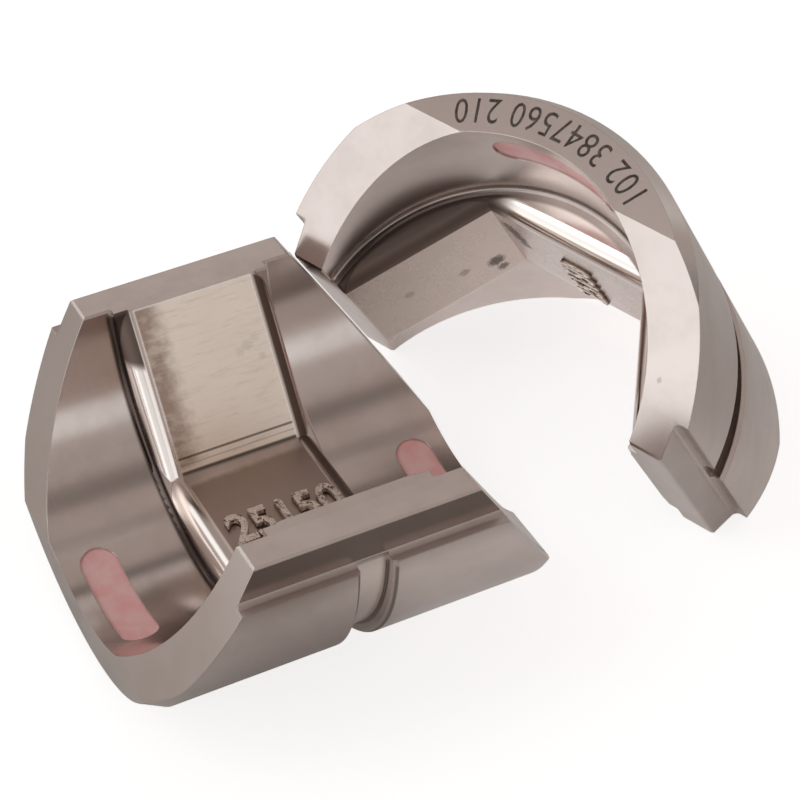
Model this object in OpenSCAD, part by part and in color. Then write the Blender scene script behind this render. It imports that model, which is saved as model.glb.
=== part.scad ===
// Compression die for a hydraulic crimping head: two matched half dies.
// The pair is shown loose on a bench. The lower half lies on its round back,
// and the upper half stands on one of its slanting side faces.
// Each half is worked out in its own frame first: X across the jaw, Y along the
// connector, Z out of the nest, with the parting plane at Z = 0.

/* [Back] */
// Diameter over the round backs when the pair is closed
outer_d = 39.4; // [36:0.1:44]
// Width of each half at its crown, along the connector
body_w = 33; // [28:0.5:38]
// Radial size of the turned chamfer at each end of the back
end_chamfer_r = 0.9; // [0.3:0.1:1.5]
// Length of that chamfer along the back
end_chamfer_l = 1.8; // [1:0.1:3]

/* [Side bevels] */
// Width of the parting faces, along the connector
parting_w = 17.4; // [15:0.1:22]
// Slope of the side bevels, measured from the flat side faces
bevel_angle = 30; // [24:1:34]

/* [Shoulders] */
// Depth of the shoulders below the parting plane
shoulder_drop = 2.8; // [1.5:0.1:4]
// Distance from the round back in to the neck walls above the shoulders
shoulder_in = 1.3; // [1:0.1:2]
// Radius of the fillet at the foot of each neck wall
shoulder_fillet_r = 0.5; // [0.3:0.1:1.2]

/* [Retaining groove] */
// Width of the groove that runs round the back
groove_w = 3.1; // [2:0.1:5]
// Depth of the groove
groove_depth = 1.05; // [0.6:0.05:1.6]
// Chamfer on both edges of the groove
groove_chamfer = 0.3; // [0.1:0.1:0.5]

/* [Nest] */
// Thickness of the wall between the round back and the round relief
back_wall = 4.3; // [3.5:0.1:5.5]
// Height of the rib's slanting flats over the relief
rib_h = 2.825; // [2:0.025:4]
// Extra height of the rib's bottom flat
bottom_rise = 0.7; // [0:0.1:1.2]
// Length of the flats along the connector
nest_w = 9.9; // [8:0.1:12]
// Radius that eases the flats into the sides of the rib
nest_edge_r = 1.5; // [0.8:0.1:2]
// Height of the turned ring that the rib stands on
ring_h = 0.85; // [0.4:0.05:1.2]
// Radius of the fillet at the foot of that ring
foot_r = 0.4; // [0.2:0.1:0.6]

/* [Colour slots] */
// Width of each slot, along the connector
slot_w = 3; // [2:0.1:4]
// Length of each slot, across the jaw
slot_l = 11.6; // [8:0.1:14]
// Distance from the flat side face to the slot
slot_inset = 1.4; // [0.8:0.1:3]
// Depth of each slot below the relief
slot_depth = 0.6; // [0.3:0.1:1]
// Thickness of the colour in each slot
colour_t = 0.4; // [0.2:0.1:0.5]

/* [Edges] */
// Small chamfer on the edges of the parting faces
edge_break = 0.15; // [0.1:0.05:0.4]

/* [Resting places] */
// Roll of the lower half on its round back, where it leans
lower_roll = -7; // [-12:1:12]
// Turn of the upper half about the vertical
upper_turn = 24; // [0:1:40]
// Place of the upper half beside the lower one, across it
upper_x = -2.8; // [-6:0.1:2]
// Clearance between the upper half's top corner and the lower half's bevel
lean_gap = 0.1; // [0.05:0.05:5]

/* [Hidden] */
$fn = 128;

steel = [0.66, 0.62, 0.59];
pink = [0.87, 0.58, 0.6];

outer_r = outer_d / 2;
relief_r = outer_r - back_wall;
ring_r = relief_r - ring_h;
nest_apothem = relief_r - rib_h;
nest_depth = nest_apothem - bottom_rise;
rib_w = nest_w + 2 * nest_edge_r;
crease_depth = (body_w - parting_w) / 2 / tan(bevel_angle);
slot_y = body_w / 2 - slot_inset - slot_w / 2;
neck_x = outer_r - shoulder_in;
over = 1;
reach = outer_d;

// The lower half's side bevel, and the corner of the upper half that is close to it
bevel_normal = [
    sin(bevel_angle) * sin(lower_roll),
    cos(bevel_angle),
    sin(bevel_angle) * cos(lower_roll),
];
bevel_point = [0, parting_w / 2, outer_r];
tip = parting_w / 2 * [0, -sin(bevel_angle), cos(bevel_angle)] - [neck_x, 0, 0];
upper_z = parting_w / 2 * cos(bevel_angle);
corner = [
    upper_x + tip[0] * cos(upper_turn) - tip[1] * sin(upper_turn),
    tip[0] * sin(upper_turn) + tip[1] * cos(upper_turn),
    upper_z + tip[2],
];
upper_y = (lean_gap - bevel_normal * (corner - bevel_point)) / bevel_normal[1];

// A profile drawn in X and Z, made as long as len along Y about the middle
module along_y(len) {
    rotate([90, 0, 0]) linear_extrude(len, center = true) children();
}

// A profile drawn in Y and Z, made as long as len along X about the middle
module along_x(len) {
    rotate([90, 0, 90]) linear_extrude(len, center = true) children();
}

// The full round back, turned about Y, with its groove and end chamfers
module turned_back() {
    w = body_w / 2;
    g = groove_w / 2;
    side = [
        [outer_r, g],
        [outer_r, w - end_chamfer_l],
        [outer_r - end_chamfer_r, w],
    ];
    groove = [
        [outer_r - groove_chamfer, g - groove_chamfer],
        [outer_r - groove_depth, g - groove_chamfer],
    ];
    upper = concat([for (i = [1:-1:0]) groove[i]], side);
    lower = [for (i = [len(upper) - 1:-1:0]) [upper[i][0], -upper[i][1]]];
    rotate([90, 0, 0])
        rotate_extrude()
            polygon(concat([[0, w]], [[0, -w]], lower, upper));
}

// The width seen along X: parting faces, side bevels and flat side faces
module side_profile() {
    half = [
        [parting_w / 2 - edge_break, 0],
        [parting_w / 2 + edge_break * tan(bevel_angle), -edge_break],
        [body_w / 2, -crease_depth],
        [body_w / 2, -outer_r - over],
    ];
    mirrored = [for (i = [len(half) - 1:-1:0]) [-half[i][0], half[i][1]]];
    polygon(concat(half, mirrored));
}

// What is cut away above one shoulder, with the fillet at the neck's foot
module shoulder_cut_profile() {
    r = shoulder_fillet_r;
    h = shoulder_drop;
    translate([neck_x + r, -h]) square([reach, h + over]);
    translate([neck_x, r - h]) square([reach, h - r + over]);
    translate([neck_x + r, r - h]) circle(r);
    polygon([
        [neck_x, -edge_break], [neck_x + over, -edge_break],
        [neck_x + over, over], [neck_x - edge_break - over, over],
    ]);
}

// Cross-section of the rib, in Y and depth: a flat of the nest and its eased edges
module rib_section(depth) {
    y0 = nest_w / 2;
    r = nest_edge_r;
    translate([-rib_w / 2, depth + r]) square([rib_w, reach]);
    translate([-y0, depth]) square([2 * y0, reach]);
    for (s = [-1, 1])
        translate([s * y0, depth + r]) circle(r);
}

// The rib under the half hexagon: three bars that meet in mitres at the corners.
// The bottom bar is the higher one.
module rib() {
    for (side = [-60, 60])
        rotate([0, side, 0])
            mirror([0, 0, 1]) along_x(2 * reach) rib_section(nest_apothem);
    mirror([0, 0, 1]) along_x(2 * reach) rib_section(nest_depth);
}

// Half outline of the relief's round space beside the rib, with the foot's fillet
module relief_profile() {
    f = rib_w / 2;
    end = body_w / 2 + over - f;
    translate([0, f]) square([relief_r - foot_r, end]);
    translate([0, f + foot_r]) square([relief_r, end - foot_r]);
    translate([relief_r - foot_r, f + foot_r]) circle(foot_r);
}

// Chamfer along both edges of a round opening of radius r in the parting face
module mouth_edge(r, len) {
    along_y(len)
        polygon([
            [-r - edge_break - over, over], [-r + over, -edge_break - over],
            [r - over, -edge_break - over], [r + edge_break + over, over],
        ]);
}

// The round relief, with the turned ring and the rib left standing in it
module relief_space() {
    side = (body_w - rib_w) / 2 + over;
    for (s = [0, 1])
        mirror([0, s, 0]) {
            rotate([-90, 0, 0]) rotate_extrude() relief_profile();
            translate([0, (rib_w + side) / 2, 0]) mouth_edge(relief_r, side);
        }
    difference() {
        union() {
            along_y(rib_w + over) circle(ring_r);
            mouth_edge(ring_r, rib_w);
        }
        rib();
    }
}

// Plan of one colour slot, seen from above
module slot_plan() {
    run = slot_l - slot_w;
    square([run, slot_w], center = true);
    for (s = [-1, 1])
        translate([s * run / 2, 0]) circle(slot_w / 2);
}

// The milled slots: straight walls, and a floor that follows the relief
module colour_slots(r_in, r_out) {
    for (s = [-1, 1])
        intersection() {
            translate([0, s * slot_y, -outer_r]) linear_extrude(outer_r) slot_plan();
            translate([0, s * slot_y, 0])
                along_y(slot_w + over)
                    difference() {
                        circle(r_out);
                        circle(r_in);
                    }
        }
}

// One half die, machined from one piece
module half_die() {
    difference() {
        intersection() {
            turned_back();
            along_x(reach) side_profile();
        }
        for (s = [0, 1])
            mirror([s, 0, 0]) along_y(body_w + over) shoulder_cut_profile();
        relief_space();
        colour_slots(relief_r - over, relief_r + slot_depth);
    }
}

// Colour laid in the bottoms of the slots
module colour_marks() {
    colour_slots(relief_r + slot_depth - colour_t, relief_r + slot_depth);
}

// The lower half lies on its round back
module place_lower() {
    translate([0, 0, outer_r]) rotate([0, lower_roll, 0]) children();
}

// The upper half stands on its slanting side face
module place_upper() {
    translate([upper_x, upper_y, upper_z])
        rotate([0, 0, upper_turn])
            rotate([90 + bevel_angle, 0, 0])
                children();
}

module lower_half() {
    color(steel) place_lower() half_die();
}

module upper_half() {
    color(steel) place_upper() half_die();
}

module lower_colour_marks() {
    color(pink) place_lower() colour_marks();
}

module upper_colour_marks() {
    color(pink) place_upper() colour_marks();
}

lower_half();
upper_half();
lower_colour_marks();
upper_colour_marks();
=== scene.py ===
import math

import bpy
from mathutils import Euler, Matrix, Vector


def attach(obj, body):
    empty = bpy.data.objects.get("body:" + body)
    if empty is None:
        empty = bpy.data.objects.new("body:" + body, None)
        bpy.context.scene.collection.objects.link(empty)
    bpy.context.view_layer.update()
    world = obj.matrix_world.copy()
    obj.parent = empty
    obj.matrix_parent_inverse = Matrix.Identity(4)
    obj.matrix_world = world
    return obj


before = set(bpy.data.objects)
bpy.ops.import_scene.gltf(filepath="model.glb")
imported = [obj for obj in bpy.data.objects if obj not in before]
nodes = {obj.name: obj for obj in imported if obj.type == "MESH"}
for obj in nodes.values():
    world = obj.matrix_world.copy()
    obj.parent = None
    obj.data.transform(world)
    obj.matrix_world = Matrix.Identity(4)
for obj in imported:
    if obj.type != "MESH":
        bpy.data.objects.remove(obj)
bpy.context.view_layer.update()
scene = bpy.context.scene
scene.view_settings.view_transform = "Standard"

MM = 0.001
# Where each half die lies: its own frame has X across the jaw, Y along the
# connector and Z out of the nest, with the parting plane at Z = 0.
PLACES = {
    "lower": ((0.0, 0.0, 19.7), (0.0, -7.0, 0.0)),
    "upper": ((-2.8, 21.672, 7.534), (120.0, 0.0, 24.0)),
}


def place_matrix(which):
    loc, rot = PLACES[which]
    turn = Euler([math.radians(a) for a in rot], "XYZ").to_matrix().to_4x4()
    return Matrix.Translation(Vector(loc) * MM) @ turn


# ---------------------------------------------------------------- node helpers


class Net:
    """Short calls for building a node tree."""

    def __init__(self, tree):
        self.tree = tree
        tree.nodes.clear()

    def node(self, kind, **props):
        n = self.tree.nodes.new(kind)
        for key, value in props.items():
            setattr(n, key, value)
        return n

    def put(self, socket, value):
        if isinstance(value, bpy.types.NodeSocket):
            self.tree.links.new(value, socket)
        else:
            socket.default_value = value

    def math(self, op, a, b=0.0, c=0.0, clamp=False):
        n = self.node("ShaderNodeMath", operation=op, use_clamp=clamp)
        for socket, value in zip(n.inputs, (a, b, c)):
            self.put(socket, value)
        return n.outputs[0]

    def vector(self, op, a, b=(0.0, 0.0, 0.0)):
        n = self.node("ShaderNodeVectorMath", operation=op)
        self.put(n.inputs[0], a)
        if op == "SCALE":
            self.put(n.inputs["Scale"], b)
        else:
            self.put(n.inputs[1], b)
        return n.outputs["Value" if op in ("DOT_PRODUCT", "LENGTH") else "Vector"]

    def ramp(self, value, a, b, c=0.0, d=1.0, smooth=True):
        """value from a..b mapped to c..d, clamped."""
        n = self.node(
            "ShaderNodeMapRange",
            interpolation_type="SMOOTHSTEP" if smooth else "LINEAR",
        )
        for socket, v in zip(n.inputs, (value, a, b, c, d)):
            self.put(socket, v)
        return n.outputs[0]

    def mix(self, factor, a, b):
        n = self.node("ShaderNodeMix", data_type="RGBA", clamp_factor=True)
        self.put(n.inputs["Factor"], factor)
        self.put(n.inputs[6], a)
        self.put(n.inputs[7], b)
        return n.outputs[2]

    def noise(self, where, scale, detail=2.0, rough=0.5, distortion=0.0):
        n = self.node("ShaderNodeTexNoise")
        self.put(n.inputs["Vector"], where)
        self.put(n.inputs["Scale"], scale)
        self.put(n.inputs["Detail"], detail)
        self.put(n.inputs["Roughness"], rough)
        self.put(n.inputs["Distortion"], distortion)
        return n.outputs[0]

    def join(self, x, y, z):
        n = self.node("ShaderNodeCombineXYZ")
        for socket, v in zip(n.inputs, (x, y, z)):
            self.put(socket, v)
        return n.outputs[0]

    def split(self, v):
        n = self.node("ShaderNodeSeparateXYZ")
        self.put(n.inputs[0], v)
        return n.outputs

    def bump(self, height, distance, strength=1.0, normal=None):
        n = self.node("ShaderNodeBump")
        self.put(n.inputs["Strength"], strength)
        self.put(n.inputs["Distance"], distance)
        self.put(n.inputs["Height"], height)
        if normal is not None:
            self.put(n.inputs["Normal"], normal)
        return n.outputs[0]


def rgb(r, g, b):
    """A colour as it is seen (0..255), made linear."""

    def lin(c):
        c /= 255.0
        return c / 12.92 if c <= 0.04045 else ((c + 0.055) / 1.055) ** 2.4

    return (lin(r), lin(g), lin(b), 1.0)


def new_material(name):
    m = bpy.data.materials.new(name)
    m.use_nodes = True
    net = Net(m.node_tree)
    out = net.node("ShaderNodeOutputMaterial")
    return m, net, out


def die_coords(net, which):
    """Points in the half's own frame, in mm."""
    loc, rot = PLACES[which]
    tc = net.node("ShaderNodeTexCoord")
    mp = net.node("ShaderNodeMapping", vector_type="TEXTURE")
    net.put(mp.inputs["Vector"], tc.outputs["Object"])
    mp.inputs["Location"].default_value = [v * MM for v in loc]
    mp.inputs["Rotation"].default_value = [math.radians(a) for a in rot]
    return net.vector("SCALE", mp.outputs[0], 1000.0)


def steel(name, which, spots):
    """Nickel-plated machined steel, with turning and milling marks, wear and stains, and painted highlights and shade.
    """
    m, net, out = new_material(name)
    bsdf = net.node("ShaderNodeBsdfPrincipled")
    net.put(out.inputs["Surface"], bsdf.outputs[0])
    p = die_coords(net, which)
    x, y, z = net.split(p)
    side_x = net.math("ABSOLUTE", x)
    side_y = net.math("ABSOLUTE", y)
    radius = net.math("SQRT", net.math("ADD", net.math("MULTIPLY", x, x), net.math("MULTIPLY", z, z)))
    in_rib = net.math("MULTIPLY", net.ramp(radius, 14.5, 14.4), net.ramp(side_y, 6.6, 6.4))
    turned = net.math("SUBTRACT", 1.0, in_rib)
    flat = net.math("MULTIPLY", in_rib, net.ramp(side_y, 5.1, 4.8))
    neck = net.math("MULTIPLY", net.ramp(side_x, 18.9, 18.5), net.ramp(side_x, 18.2, 18.35))
    neck = net.math("MULTIPLY", neck, net.math("MULTIPLY", net.ramp(z, -3.0, -2.0), net.ramp(z, -0.1, -0.2)))
    foot = net.math("MULTIPLY", net.ramp(side_y, 7.1, 6.8), net.ramp(side_y, 6.36, 6.44))
    foot = net.math("MULTIPLY", foot, net.math("MULTIPLY", net.ramp(radius, 14.2, 14.5), net.ramp(radius, 15.9, 15.7)))
    foot = net.math("MULTIPLY", foot, net.ramp(z, -0.1, -0.7))
    foot = net.math("MULTIPLY", foot, net.math("MAXIMUM", net.ramp(x, 4.0, -4.0), net.ramp(z, -1.5, -4.0)))
    if which == "lower":
        foot = net.math("MULTIPLY", foot, net.ramp(y, 0.0, -1.0))
    step = net.math("MULTIPLY", net.ramp(side_x, 18.3, 18.4), net.ramp(z, -3.0, -2.75))
    fillet = net.math("MULTIPLY", net.ramp(side_x, 18.42, 18.5), net.ramp(z, -3.0, -2.7))
    groove = net.math("MULTIPLY", net.ramp(radius, 19.5, 19.3), net.ramp(radius, 18.2, 18.4))
    groove = net.math("MULTIPLY", groove, net.math("MULTIPLY", net.ramp(side_y, 1.7, 1.6), net.ramp(z, -2.9, -3.0)))
    rounded = net.math("MULTIPLY", in_rib, net.ramp(side_y, 4.85, 5.0))
    bore = net.math("MULTIPLY", net.ramp(radius, 15.7, 15.5), turned)

    # fine turning lines: rings of constant Y
    ring = net.noise(net.join(net.math("MULTIPLY", radius, 0.02), y, 0.0), 6.0, 3.0, 0.65)
    ring_fine = net.noise(net.join(0.0, y, 3.7), 24.0, 2.0, 0.6)
    # milling lines on the nest's flats run along Y
    mill = net.noise(net.join(net.math("MULTIPLY", y, 0.12), x, z), 3.2, 4.0, 0.7)
    mill_fine = net.noise(net.join(net.math("MULTIPLY", y, 0.05), x, z), 9.0, 2.0, 0.6)
    cloud = net.noise(p, 0.22, 4.0, 0.6)
    grain = net.noise(p, 5.0, 3.0, 0.6)

    height = net.math("ADD", net.math("MULTIPLY", ring, 0.6), net.math("MULTIPLY", ring_fine, 0.4))
    height = net.math("MULTIPLY", height, turned)
    height = net.math("ADD", height, net.math("MULTIPLY", net.math("ADD", mill, mill_fine), net.math("MULTIPLY", flat, 1.0 if which == "lower" else 0.15)))
    height = net.math("ADD", height, net.math("MULTIPLY", grain, 0.08 if which == "lower" else 0.03))

    soft = net.node("ShaderNodeBevel", samples=4)
    net.put(soft.inputs["Radius"], 0.08 * MM)
    normal = net.bump(height, 0.0025 * MM, 1.0, soft.outputs[0])
    net.put(bsdf.inputs["Normal"], normal)

    colour = net.mix(net.ramp(cloud, 0.35, 0.7), rgb(216, 203, 198), rgb(208, 195, 189))
    colour = net.mix(net.math("MULTIPLY", net.ramp(grain, 0.5, 0.8), 0.06), colour, rgb(180, 166, 156))
    if which == "lower":
        # a painted reflection brightens the slanting flats; the bottom one is darker, with a cloudy edge
        slant = net.math("MULTIPLY", flat, net.ramp(side_x, 7.5, 7.9))
        colour = net.mix(net.math("MULTIPLY", slant, 0.95), colour, rgb(255, 240, 227))
        darker_bottom = net.math("MULTIPLY", flat, net.ramp(net.math("ADD", x, net.math("MULTIPLY", cloud, 1.2)), -6.1, -5.3))
        darker_bottom = net.math("MULTIPLY", darker_bottom, net.math("SUBTRACT", 1.0, slant))
        colour = net.mix(net.math("MULTIPLY", darker_bottom, 0.7), colour, rgb(150, 126, 112))
        streak = net.math("MULTIPLY", net.ramp(mill, 0.48, 0.75), slant)
        colour = net.mix(net.math("MULTIPLY", streak, 0.22), colour, rgb(160, 134, 118))
        # a darker, blotchy strip along one edge of the slanting flats
        wide = net.noise(p, 1.1, 3.0, 0.6)
        edge = net.math("ADD", y, net.math("MULTIPLY", net.math("SUBTRACT", wide, 0.5), 1.7))
        blot = net.noise(net.join(net.math("MULTIPLY", y, 0.6), x, z), 1.0, 3.0, 0.55)
        blotchy = net.math("ADD", net.math("MULTIPLY", mill_fine, 0.15), net.math("MULTIPLY", blot, 0.85))
        strip = net.math("MULTIPLY", net.ramp(edge, -2.3, -4.4), net.ramp(blotchy, 0.36, 0.56, 0.65, 1.0))
        strip = net.math("MULTIPLY", net.math("MULTIPLY", strip, flat), net.ramp(side_x, 7.6, 8.2))
        colour = net.mix(net.math("MULTIPLY", strip, 0.75), colour, rgb(140, 108, 92))
        # darker lines in the corners between the flats, and two thinner ones above each
        up = net.math("MULTIPLY", net.math("SUBTRACT", side_x, 7.67), 2.0)
        for at, half, dark in ((0.1, 0.22, 0.85), (1.3, 0.14, 0.75), (0.75, 0.08, 0.3)):
            d = net.math("ABSOLUTE", net.math("SUBTRACT", up, at))
            line = net.math("MULTIPLY", net.ramp(d, half, half * 0.3), flat)
            colour = net.mix(net.math("MULTIPLY", line, dark), colour, rgb(62, 46, 40))
    else:
        # painted shade darkens the flat on the -X side of the upper half
        shaded_flat = net.math("MULTIPLY", net.math("MULTIPLY", in_rib, net.ramp(y, 5.1, 4.8)), net.ramp(x, -7.2, -7.8))
        colour = net.mix(net.math("MULTIPLY", shaded_flat, 0.6), colour, rgb(196, 178, 168))
    # the rounded edges beside the flats are polished and get a painted highlight, stronger towards one end; painted
    # shade darkens places beside them
    colour = net.mix(net.math("MULTIPLY", rounded, net.ramp(x, -7.0, -5.5, 0.4, 0.95) if which == "lower" else net.ramp(y, -1.0, 0.0, 0.0, 0.8)), colour, rgb(242, 232, 226))
    if which == "lower":
        shade_by_flats = net.math("MULTIPLY", net.ramp(y, -5.25, -5.4), net.ramp(z, -4.4, -3.6))
        shade_by_flats = net.math("MULTIPLY", shade_by_flats, net.ramp(x, 0.0, -4.0))
        shade_by_flats = net.math("MAXIMUM", shade_by_flats, net.math("MULTIPLY", net.math("MULTIPLY", net.ramp(y, 5.05, 5.3), net.ramp(y, 6.05, 5.85)), in_rib))
    else:
        shade_by_flats = net.math("MULTIPLY", net.ramp(y, 4.85, 4.95), net.ramp(x, -4.5, -7.5))
    shade_by_flats = net.math("MULTIPLY", shade_by_flats, net.math("MULTIPLY", net.ramp(radius, 14.9, 14.7), net.ramp(side_y, 6.55, 6.45)))
    # painted shade beside the flats, which are also made rougher there
    colour = net.mix(net.math("MULTIPLY", shade_by_flats, 0.85), colour, rgb(86, 62, 50))
    # painted shade on the neck wall
    colour = net.mix(net.math("MULTIPLY", neck, 0.1), colour, rgb(96, 80, 72))
    # painted shade on the shoulder step
    colour = net.mix(net.math("MULTIPLY", step, 0.2), colour, rgb(120, 104, 96))
    # painted shade along the foot of the rib, deeper on the lower half
    colour = net.mix(net.math("MULTIPLY", foot, 0.9 if which == "lower" else 0.45), colour, rgb(66, 50, 44))
    if which == "lower":
        # painted light brightens the groove
        colour = net.mix(net.math("MULTIPLY", groove, 0.7), colour, rgb(240, 228, 222))
        # painted shade in the groove's far corner and along its edge
        corner = net.math("MULTIPLY", net.ramp(radius, 19.0, 18.8), net.ramp(y, 0.95, 1.15))
        edging = net.math("MULTIPLY", net.ramp(radius, 19.3, 19.4), net.math("MULTIPLY", net.ramp(y, 1.36, 1.46), net.ramp(y, 1.68, 1.58)))
        groove_shade = net.math("MULTIPLY", net.math("ADD", corner, edging), net.math("MULTIPLY", net.ramp(z, -3.2, -3.6), net.ramp(radius, 18.0, 18.4)))
        colour = net.mix(net.math("MULTIPLY", groove_shade, 0.6), colour, rgb(86, 70, 64))
    else:
        # painted shade darkens the groove
        colour = net.mix(net.math("MULTIPLY", groove, 0.4), colour, rgb(84, 70, 64))
    for (sx, sy, sz), size, dark in spots:
        d = net.vector("LENGTH", net.vector("SUBTRACT", p, (sx, sy, sz)))
        d = net.math("ADD", d, net.math("MULTIPLY", net.math("SUBTRACT", grain, 0.5), size * 1.4))
        colour = net.mix(net.math("MULTIPLY", net.ramp(d, size, size * 0.45), dark), colour, rgb(74, 62, 55))
    net.put(bsdf.inputs["Base Color"], colour)
    rough = net.math("ADD", 0.16, net.math("MULTIPLY", cloud, 0.08))
    rough = net.math("ADD", rough, net.math("MULTIPLY", grain, 0.04))
    rough = net.math("ADD", rough, net.math("MULTIPLY", flat, 0.15 if which == "lower" else 0.05))
    rough = net.math("ADD", rough, net.math("MULTIPLY", rounded, -0.1))
    rough = net.math("ADD", rough, net.math("MULTIPLY", shade_by_flats, 0.4))
    rough = net.math("ADD", rough, net.math("MULTIPLY", fillet, 0.3))
    net.put(bsdf.inputs["Roughness"], rough)
    net.put(bsdf.inputs["Anisotropic"], net.math("MULTIPLY", bore, 0.6))
    along = place_matrix(which).to_3x3() @ Vector((0, 1, 0))
    net.put(bsdf.inputs["Tangent"], net.join(*along))
    bsdf.inputs["Metallic"].default_value = 1.0
    return m


def enamel(name, which):
    """Pink enamel brushed into the milled slots."""
    m, net, out = new_material(name)
    bsdf = net.node("ShaderNodeBsdfPrincipled")
    net.put(out.inputs["Surface"], bsdf.outputs[0])
    p = die_coords(net, which)
    cloud = net.noise(p, 0.5, 3.0, 0.6)
    grain = net.noise(p, 3.0, 3.0, 0.6)
    colour = net.mix(net.ramp(cloud, 0.35, 0.7), rgb(255, 206, 204), rgb(252, 184, 184))
    net.put(bsdf.inputs["Base Color"], colour)
    net.put(bsdf.inputs["Roughness"], net.ramp(cloud, 0.3, 0.7, 0.35, 0.5))
    net.put(bsdf.inputs["Normal"], net.bump(grain, 0.05 * MM, 0.6))
    return m


# Stains: place in the half's own frame, radius in mm, how dark
lower_spots = [
    ((-11.7, 2.4, -5.0), 0.5, 0.1),
    ((-11.9, 3.1, -4.7), 0.55, 0.14),
    ((-12.1, 3.8, -4.3), 0.5, 0.1),
    ((-11.3, 4.1, -5.7), 0.35, 0.14),
]
upper_spots = [
    ((-10.1, -1.7, -7.7), 0.6, 0.4),
    ((-12.5, -0.4, -3.5), 0.6, 0.3),
    ((-8.7, -2.6, -10.1), 0.95, 0.85),
    ((-8.6, -4.0, -10.3), 0.65, 0.75),
    ((-6.6, 2.7, -11.9), 0.95, 0.9),
    ((-6.3, 1.9, -11.9), 1.0, 0.95),
    ((-6.0, 1.0, -11.9), 0.95, 0.95),
    ((-5.8, 0.0, -11.9), 0.75, 0.85),
    ((15.9, 11.5, -4.8), 0.3, 0.3),
]

looks = {
    "lower_half": steel("lower_plated_steel", "lower", lower_spots),
    "upper_half": steel("upper_plated_steel", "upper", upper_spots),
    "lower_colour_marks": enamel("lower_pink_enamel", "lower"),
    "upper_colour_marks": enamel("upper_pink_enamel", "upper"),
}
for name, material in looks.items():
    slots = nodes[name].data.materials
    slots.clear()
    slots.append(material)

# ---------------------------------------------------------------- marks


def letters(text, height, gap=0.0, bold=0.0):
    """Outline of plain digits, as vertices and faces, in mm, from u = 0 on."""
    curve = bpy.data.curves.new("digits", "FONT")
    curve.body = text
    curve.size = height / 0.7
    curve.space_character = 1.0 + gap
    curve.offset = bold
    curve.extrude = 0.5
    curve.resolution_u = 3
    obj = bpy.data.objects.new("digits", curve)
    scene.collection.objects.link(obj)
    bpy.context.view_layer.update()
    mesh = bpy.data.meshes.new_from_object(obj.evaluated_get(bpy.context.evaluated_depsgraph_get()))
    bpy.data.objects.remove(obj)
    return mesh


def side_marks():
    """Plain digits in three groups on the upper half's side face."""
    m, net, out = new_material("etched_marks")
    bsdf = net.node("ShaderNodeBsdfPrincipled")
    net.put(out.inputs["Surface"], bsdf.outputs[0])
    p = die_coords(net, "upper")
    worn = net.noise(p, 3.0, 3.0, 0.6)
    net.put(bsdf.inputs["Base Color"], net.mix(net.ramp(worn, 0.35, 0.75), rgb(58, 49, 46), rgb(116, 102, 96)))
    net.put(bsdf.inputs["Roughness"], net.ramp(worn, 0.3, 0.7, 0.55, 0.75))
    mesh = letters("102 3847560 210", 2.15, 0.08, -0.012)
    width = max(v.co.x for v in mesh.vertices)
    start, end, base = math.radians(-59.5), math.radians(-121), 18.3
    for v in mesh.vertices:
        u, h, w = v.co
        a = start + (end - start) * u / width
        r = base - h
        v.co = Vector((r * math.cos(a), 16.5 + w * 0.04, r * math.sin(a))) * MM
    mesh.transform(place_matrix("upper"))
    mesh.materials.clear()
    mesh.materials.append(m)
    obj = bpy.data.objects.new("side_digits", mesh)
    scene.collection.objects.link(obj)
    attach(obj, "root")
    return obj


side_marks()


def cast_look(which):
    """Raised digits: worn tops with a painted highlight over dark, pitted sides with painted shade."""
    dark = rgb(100, 80, 70) if which == "lower" else rgb(140, 120, 110)
    m, net, out = new_material(which + "_raised_marks")
    bsdf = net.node("ShaderNodeBsdfPrincipled")
    net.put(out.inputs["Surface"], bsdf.outputs[0])
    p = die_coords(net, which)
    x, y, z = net.split(p)
    pits = net.noise(p, 2.6, 4.0, 0.7)
    # painted highlight on the digits' tops, broken by pits; the darker colour is painted shade, deeper on the lower
    # half
    top = net.math("MULTIPLY", net.ramp(z, -11.8, -11.65), net.ramp(pits, 0.36, 0.5))
    net.put(bsdf.inputs["Base Color"], net.mix(top, dark, rgb(250, 236, 226)))
    net.put(bsdf.inputs["Roughness"], net.ramp(pits, 0.3, 0.7, 0.45, 0.25))
    net.put(bsdf.inputs["Normal"], net.bump(pits, 0.25 * MM, 0.7))
    bsdf.inputs["Metallic"].default_value = 1.0
    return m


def nest_marks(which, x0, y0, size, span, rise):
    """A plain raised number on the nest's bottom flat."""
    mesh = letters("25150", size, 0.0, 0.11)
    width = max(v.co.x for v in mesh.vertices)
    for v in mesh.vertices:
        u, h, w = v.co
        v.co = Vector((x0 - h, y0 + (u / width - 0.5) * span, -11.875 + (w + 0.45) * rise)) * MM
    mesh.transform(place_matrix(which))
    mesh.materials.clear()
    mesh.materials.append(cast_look(which))
    obj = bpy.data.objects.new(which + "_nest_digits", mesh)
    scene.collection.objects.link(obj)
    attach(obj, "root")
    return obj


nest_marks("lower", 2.6, 0.2, 3.4, 9.3, 0.55)
nest_marks("upper", 1.2, -1.4, 2.9, 6.4, 0.3)

# ---------------------------------------------------------------- studio


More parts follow.
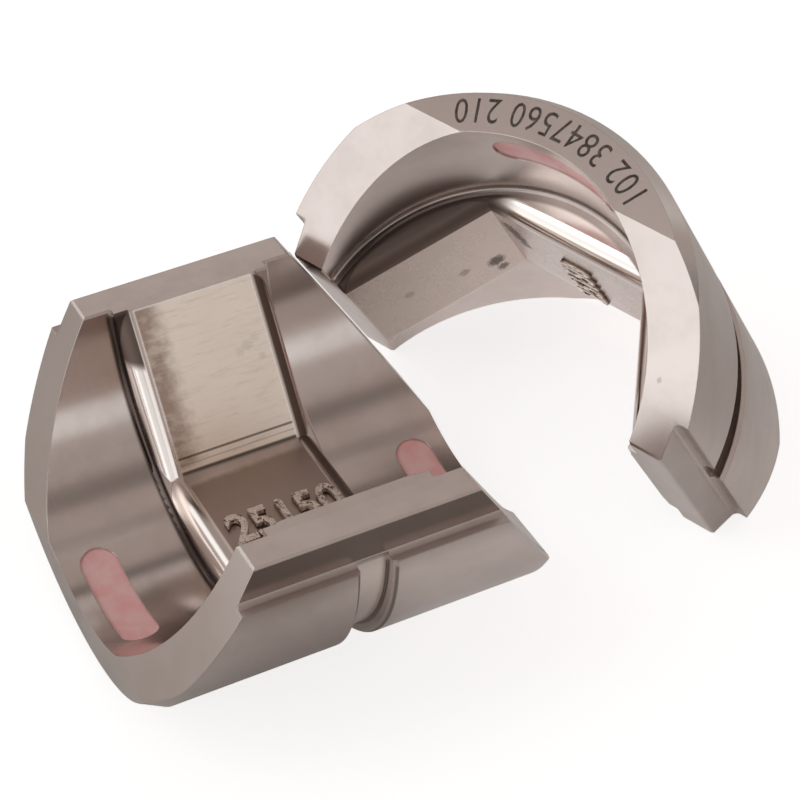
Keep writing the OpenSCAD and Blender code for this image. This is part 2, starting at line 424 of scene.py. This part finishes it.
# Soft panels and dark flags round the table: azimuth, elevation, half width,
# half height and soft edge in degrees, and how much light each adds or takes.
PANELS = [
    (-98, 18, 12, 40, 10, 0.72),
    (-98, 48, 8, 16, 8, 0.6),
    (-58, 10, 20, 8, 10, 0.55),
    (-76, 1, 12, 5, 7, 0.5),
    (-44, 50, 36, 14, 6, -0.46),
    (-14, 0, 13, 10, 7, -0.4),
    (-24, 25, 9, 3, 5, 0.75),
    (16, 29, 7, 4, 6, 0.5),
    (19, 37, 8, 18, 5, 0.1),
    (36, 66, 13, 4, 4, -0.34),
    (112, 73, 10, 3, 6, -0.26),
    (159, 52, 12, 2, 3, -0.38),
    (162, 42, 12, 4, 4, 0.2),
    (122, 2, 10, 10, 8, 0.35),
    (88, 1, 5, 3, 5, -0.42),
    (166, 25, 2, 3, 7, 0.22),
    (-170, 20, 15, 30, 15, -0.1),
    (-148, 21, 6, 4, 5, 0.75),
    (-112, 49, 4, 7, 4, 1.0),
    (130, 77, 6, 2, 3, 0.3),
    (89, 12, 4, 3, 4, 0.5),
]


def studio():
    world = bpy.data.worlds.new("studio")
    scene.world = world
    world.use_nodes = True
    net = Net(world.node_tree)
    out = net.node("ShaderNodeOutputWorld")
    tc = net.node("ShaderNodeTexCoord")
    x, y, z = net.split(tc.outputs["Generated"])
    turn = math.pi / 180
    az = net.math("DIVIDE", net.math("ARCTAN2", y, x), turn)
    el = net.math("DIVIDE", net.math("ARCSINE", z), turn)
    level = 0.46
    for at, up, wide, high, soft, amount in PANELS:
        da = net.math("ABSOLUTE", net.math("WRAP", net.math("SUBTRACT", az, at), 180.0, -180.0))
        de = net.math("ABSOLUTE", net.math("SUBTRACT", el, up))
        part = net.math("MULTIPLY", net.ramp(da, wide + soft, wide), net.ramp(de, high + soft, high))
        level = net.math("ADD", net.math("MULTIPLY", part, amount), level)
    level = net.math("MAXIMUM", level, 0.03)
    light = net.node("ShaderNodeBackground")
    net.put(light.inputs["Color"], net.mix(net.ramp(level, 0.3, 1.0), rgb(252, 238, 230), (0.97, 1.0, 1.0, 1.0)))
    net.put(light.inputs["Strength"], level)
    white = net.node("ShaderNodeBackground")
    white.inputs["Strength"].default_value = 1.0
    path = net.node("ShaderNodeLightPath")
    choose = net.node("ShaderNodeMixShader")
    net.put(choose.inputs[0], path.outputs["Is Camera Ray"])
    net.put(choose.inputs[1], light.outputs[0])
    net.put(choose.inputs[2], white.outputs[0])
    net.put(out.inputs["Surface"], choose.outputs[0])


studio()


def floor():
    mesh = bpy.data.meshes.new("floor")
    s = 3.0
    mesh.from_pydata([(-s, -s, 0), (s, -s, 0), (s, s, 0), (-s, s, 0)], [], [(0, 1, 2, 3)])
    obj = bpy.data.objects.new("floor", mesh)
    scene.collection.objects.link(obj)
    obj.location.z = -0.02 * MM
    m, net, out = new_material("white_paper")
    geo = net.node("ShaderNodeNewGeometry")
    at = net.vector("SCALE", geo.outputs["Position"], 1000.0)
    x, y, z = net.split(at)
    # to reflected and bounced light the paper turns dark towards +X and far off, and has a painted glow under and round
    # the upper half and far in front
    far = net.ramp(net.vector("LENGTH", at), 70.0, 120.0)
    far = net.math("MULTIPLY", far, net.math("MULTIPLY", net.ramp(y, -80.0, -40.0), net.ramp(y, 70.0, 40.0)))
    far = net.math("MAXIMUM", far, net.math("MULTIPLY", net.ramp(x, 28.0, 40.0), 0.78))
    paper = net.node("ShaderNodeBsdfDiffuse")
    net.put(paper.inputs["Color"], net.mix(far, (0.86, 0.86, 0.85, 1.0), (0.13, 0.085, 0.065, 1.0)))
    # painted glow: the paper emits light under and round the upper half and far in front
    away = net.vector("LENGTH", net.vector("SUBTRACT", at, (-20.0, 35.0, 0.0)))
    lit = net.math("MULTIPLY", net.ramp(away, 22.0, 6.0), 0.36)
    lit = net.math("ADD", lit, net.math("MULTIPLY", net.math("MULTIPLY", net.ramp(y, 0.0, 10.0), net.ramp(y, 58.0, 40.0)), 0.18))
    lit = net.math("ADD", lit, net.ramp(y, -90.0, -140.0))
    lit = net.math("MULTIPLY", lit, net.math("SUBTRACT", 1.0, far))
    under = net.node("ShaderNodeEmission")
    net.put(under.inputs["Strength"], lit)
    seen = net.node("ShaderNodeAddShader")
    net.put(seen.inputs[0], paper.outputs[0])
    net.put(seen.inputs[1], under.outputs[0])
    glow = net.node("ShaderNodeEmission")
    glow.inputs["Strength"].default_value = 0.76
    add = net.node("ShaderNodeAddShader")
    dim = net.node("ShaderNodeBsdfDiffuse")
    dim.inputs["Color"].default_value = (0.6, 0.6, 0.6, 1.0)
    net.put(add.inputs[0], dim.outputs[0])
    net.put(add.inputs[1], glow.outputs[0])
    path = net.node("ShaderNodeLightPath")
    choose = net.node("ShaderNodeMixShader")
    net.put(choose.inputs[0], path.outputs["Is Camera Ray"])
    net.put(choose.inputs[1], seen.outputs[0])
    net.put(choose.inputs[2], add.outputs[0])
    net.put(out.inputs["Surface"], choose.outputs[0])
    mesh.materials.append(m)


floor()


def camera():
    eye = Vector((131.5, -51.4, 154.3)) * MM
    look = Vector((-12.9, 17.3, 0.0)) * MM
    ahead = (look - eye).normalized()
    right = ahead.cross(Vector((0, 0, 1))).normalized()
    down = ahead.cross(right)
    r = math.radians(-0.58)
    right, down = right * math.cos(r) - down * math.sin(r), right * math.sin(r) + down * math.cos(r)
    data = bpy.data.cameras.new("camera")
    data.sensor_width = 36.0
    data.lens = 117.7
    data.clip_start = 0.01
    obj = bpy.data.objects.new("camera", data)
    turn = Matrix((right, -down, -ahead)).transposed().to_4x4()
    obj.matrix_world = Matrix.Translation(eye) @ turn
    scene.collection.objects.link(obj)
    scene.camera = obj


camera()
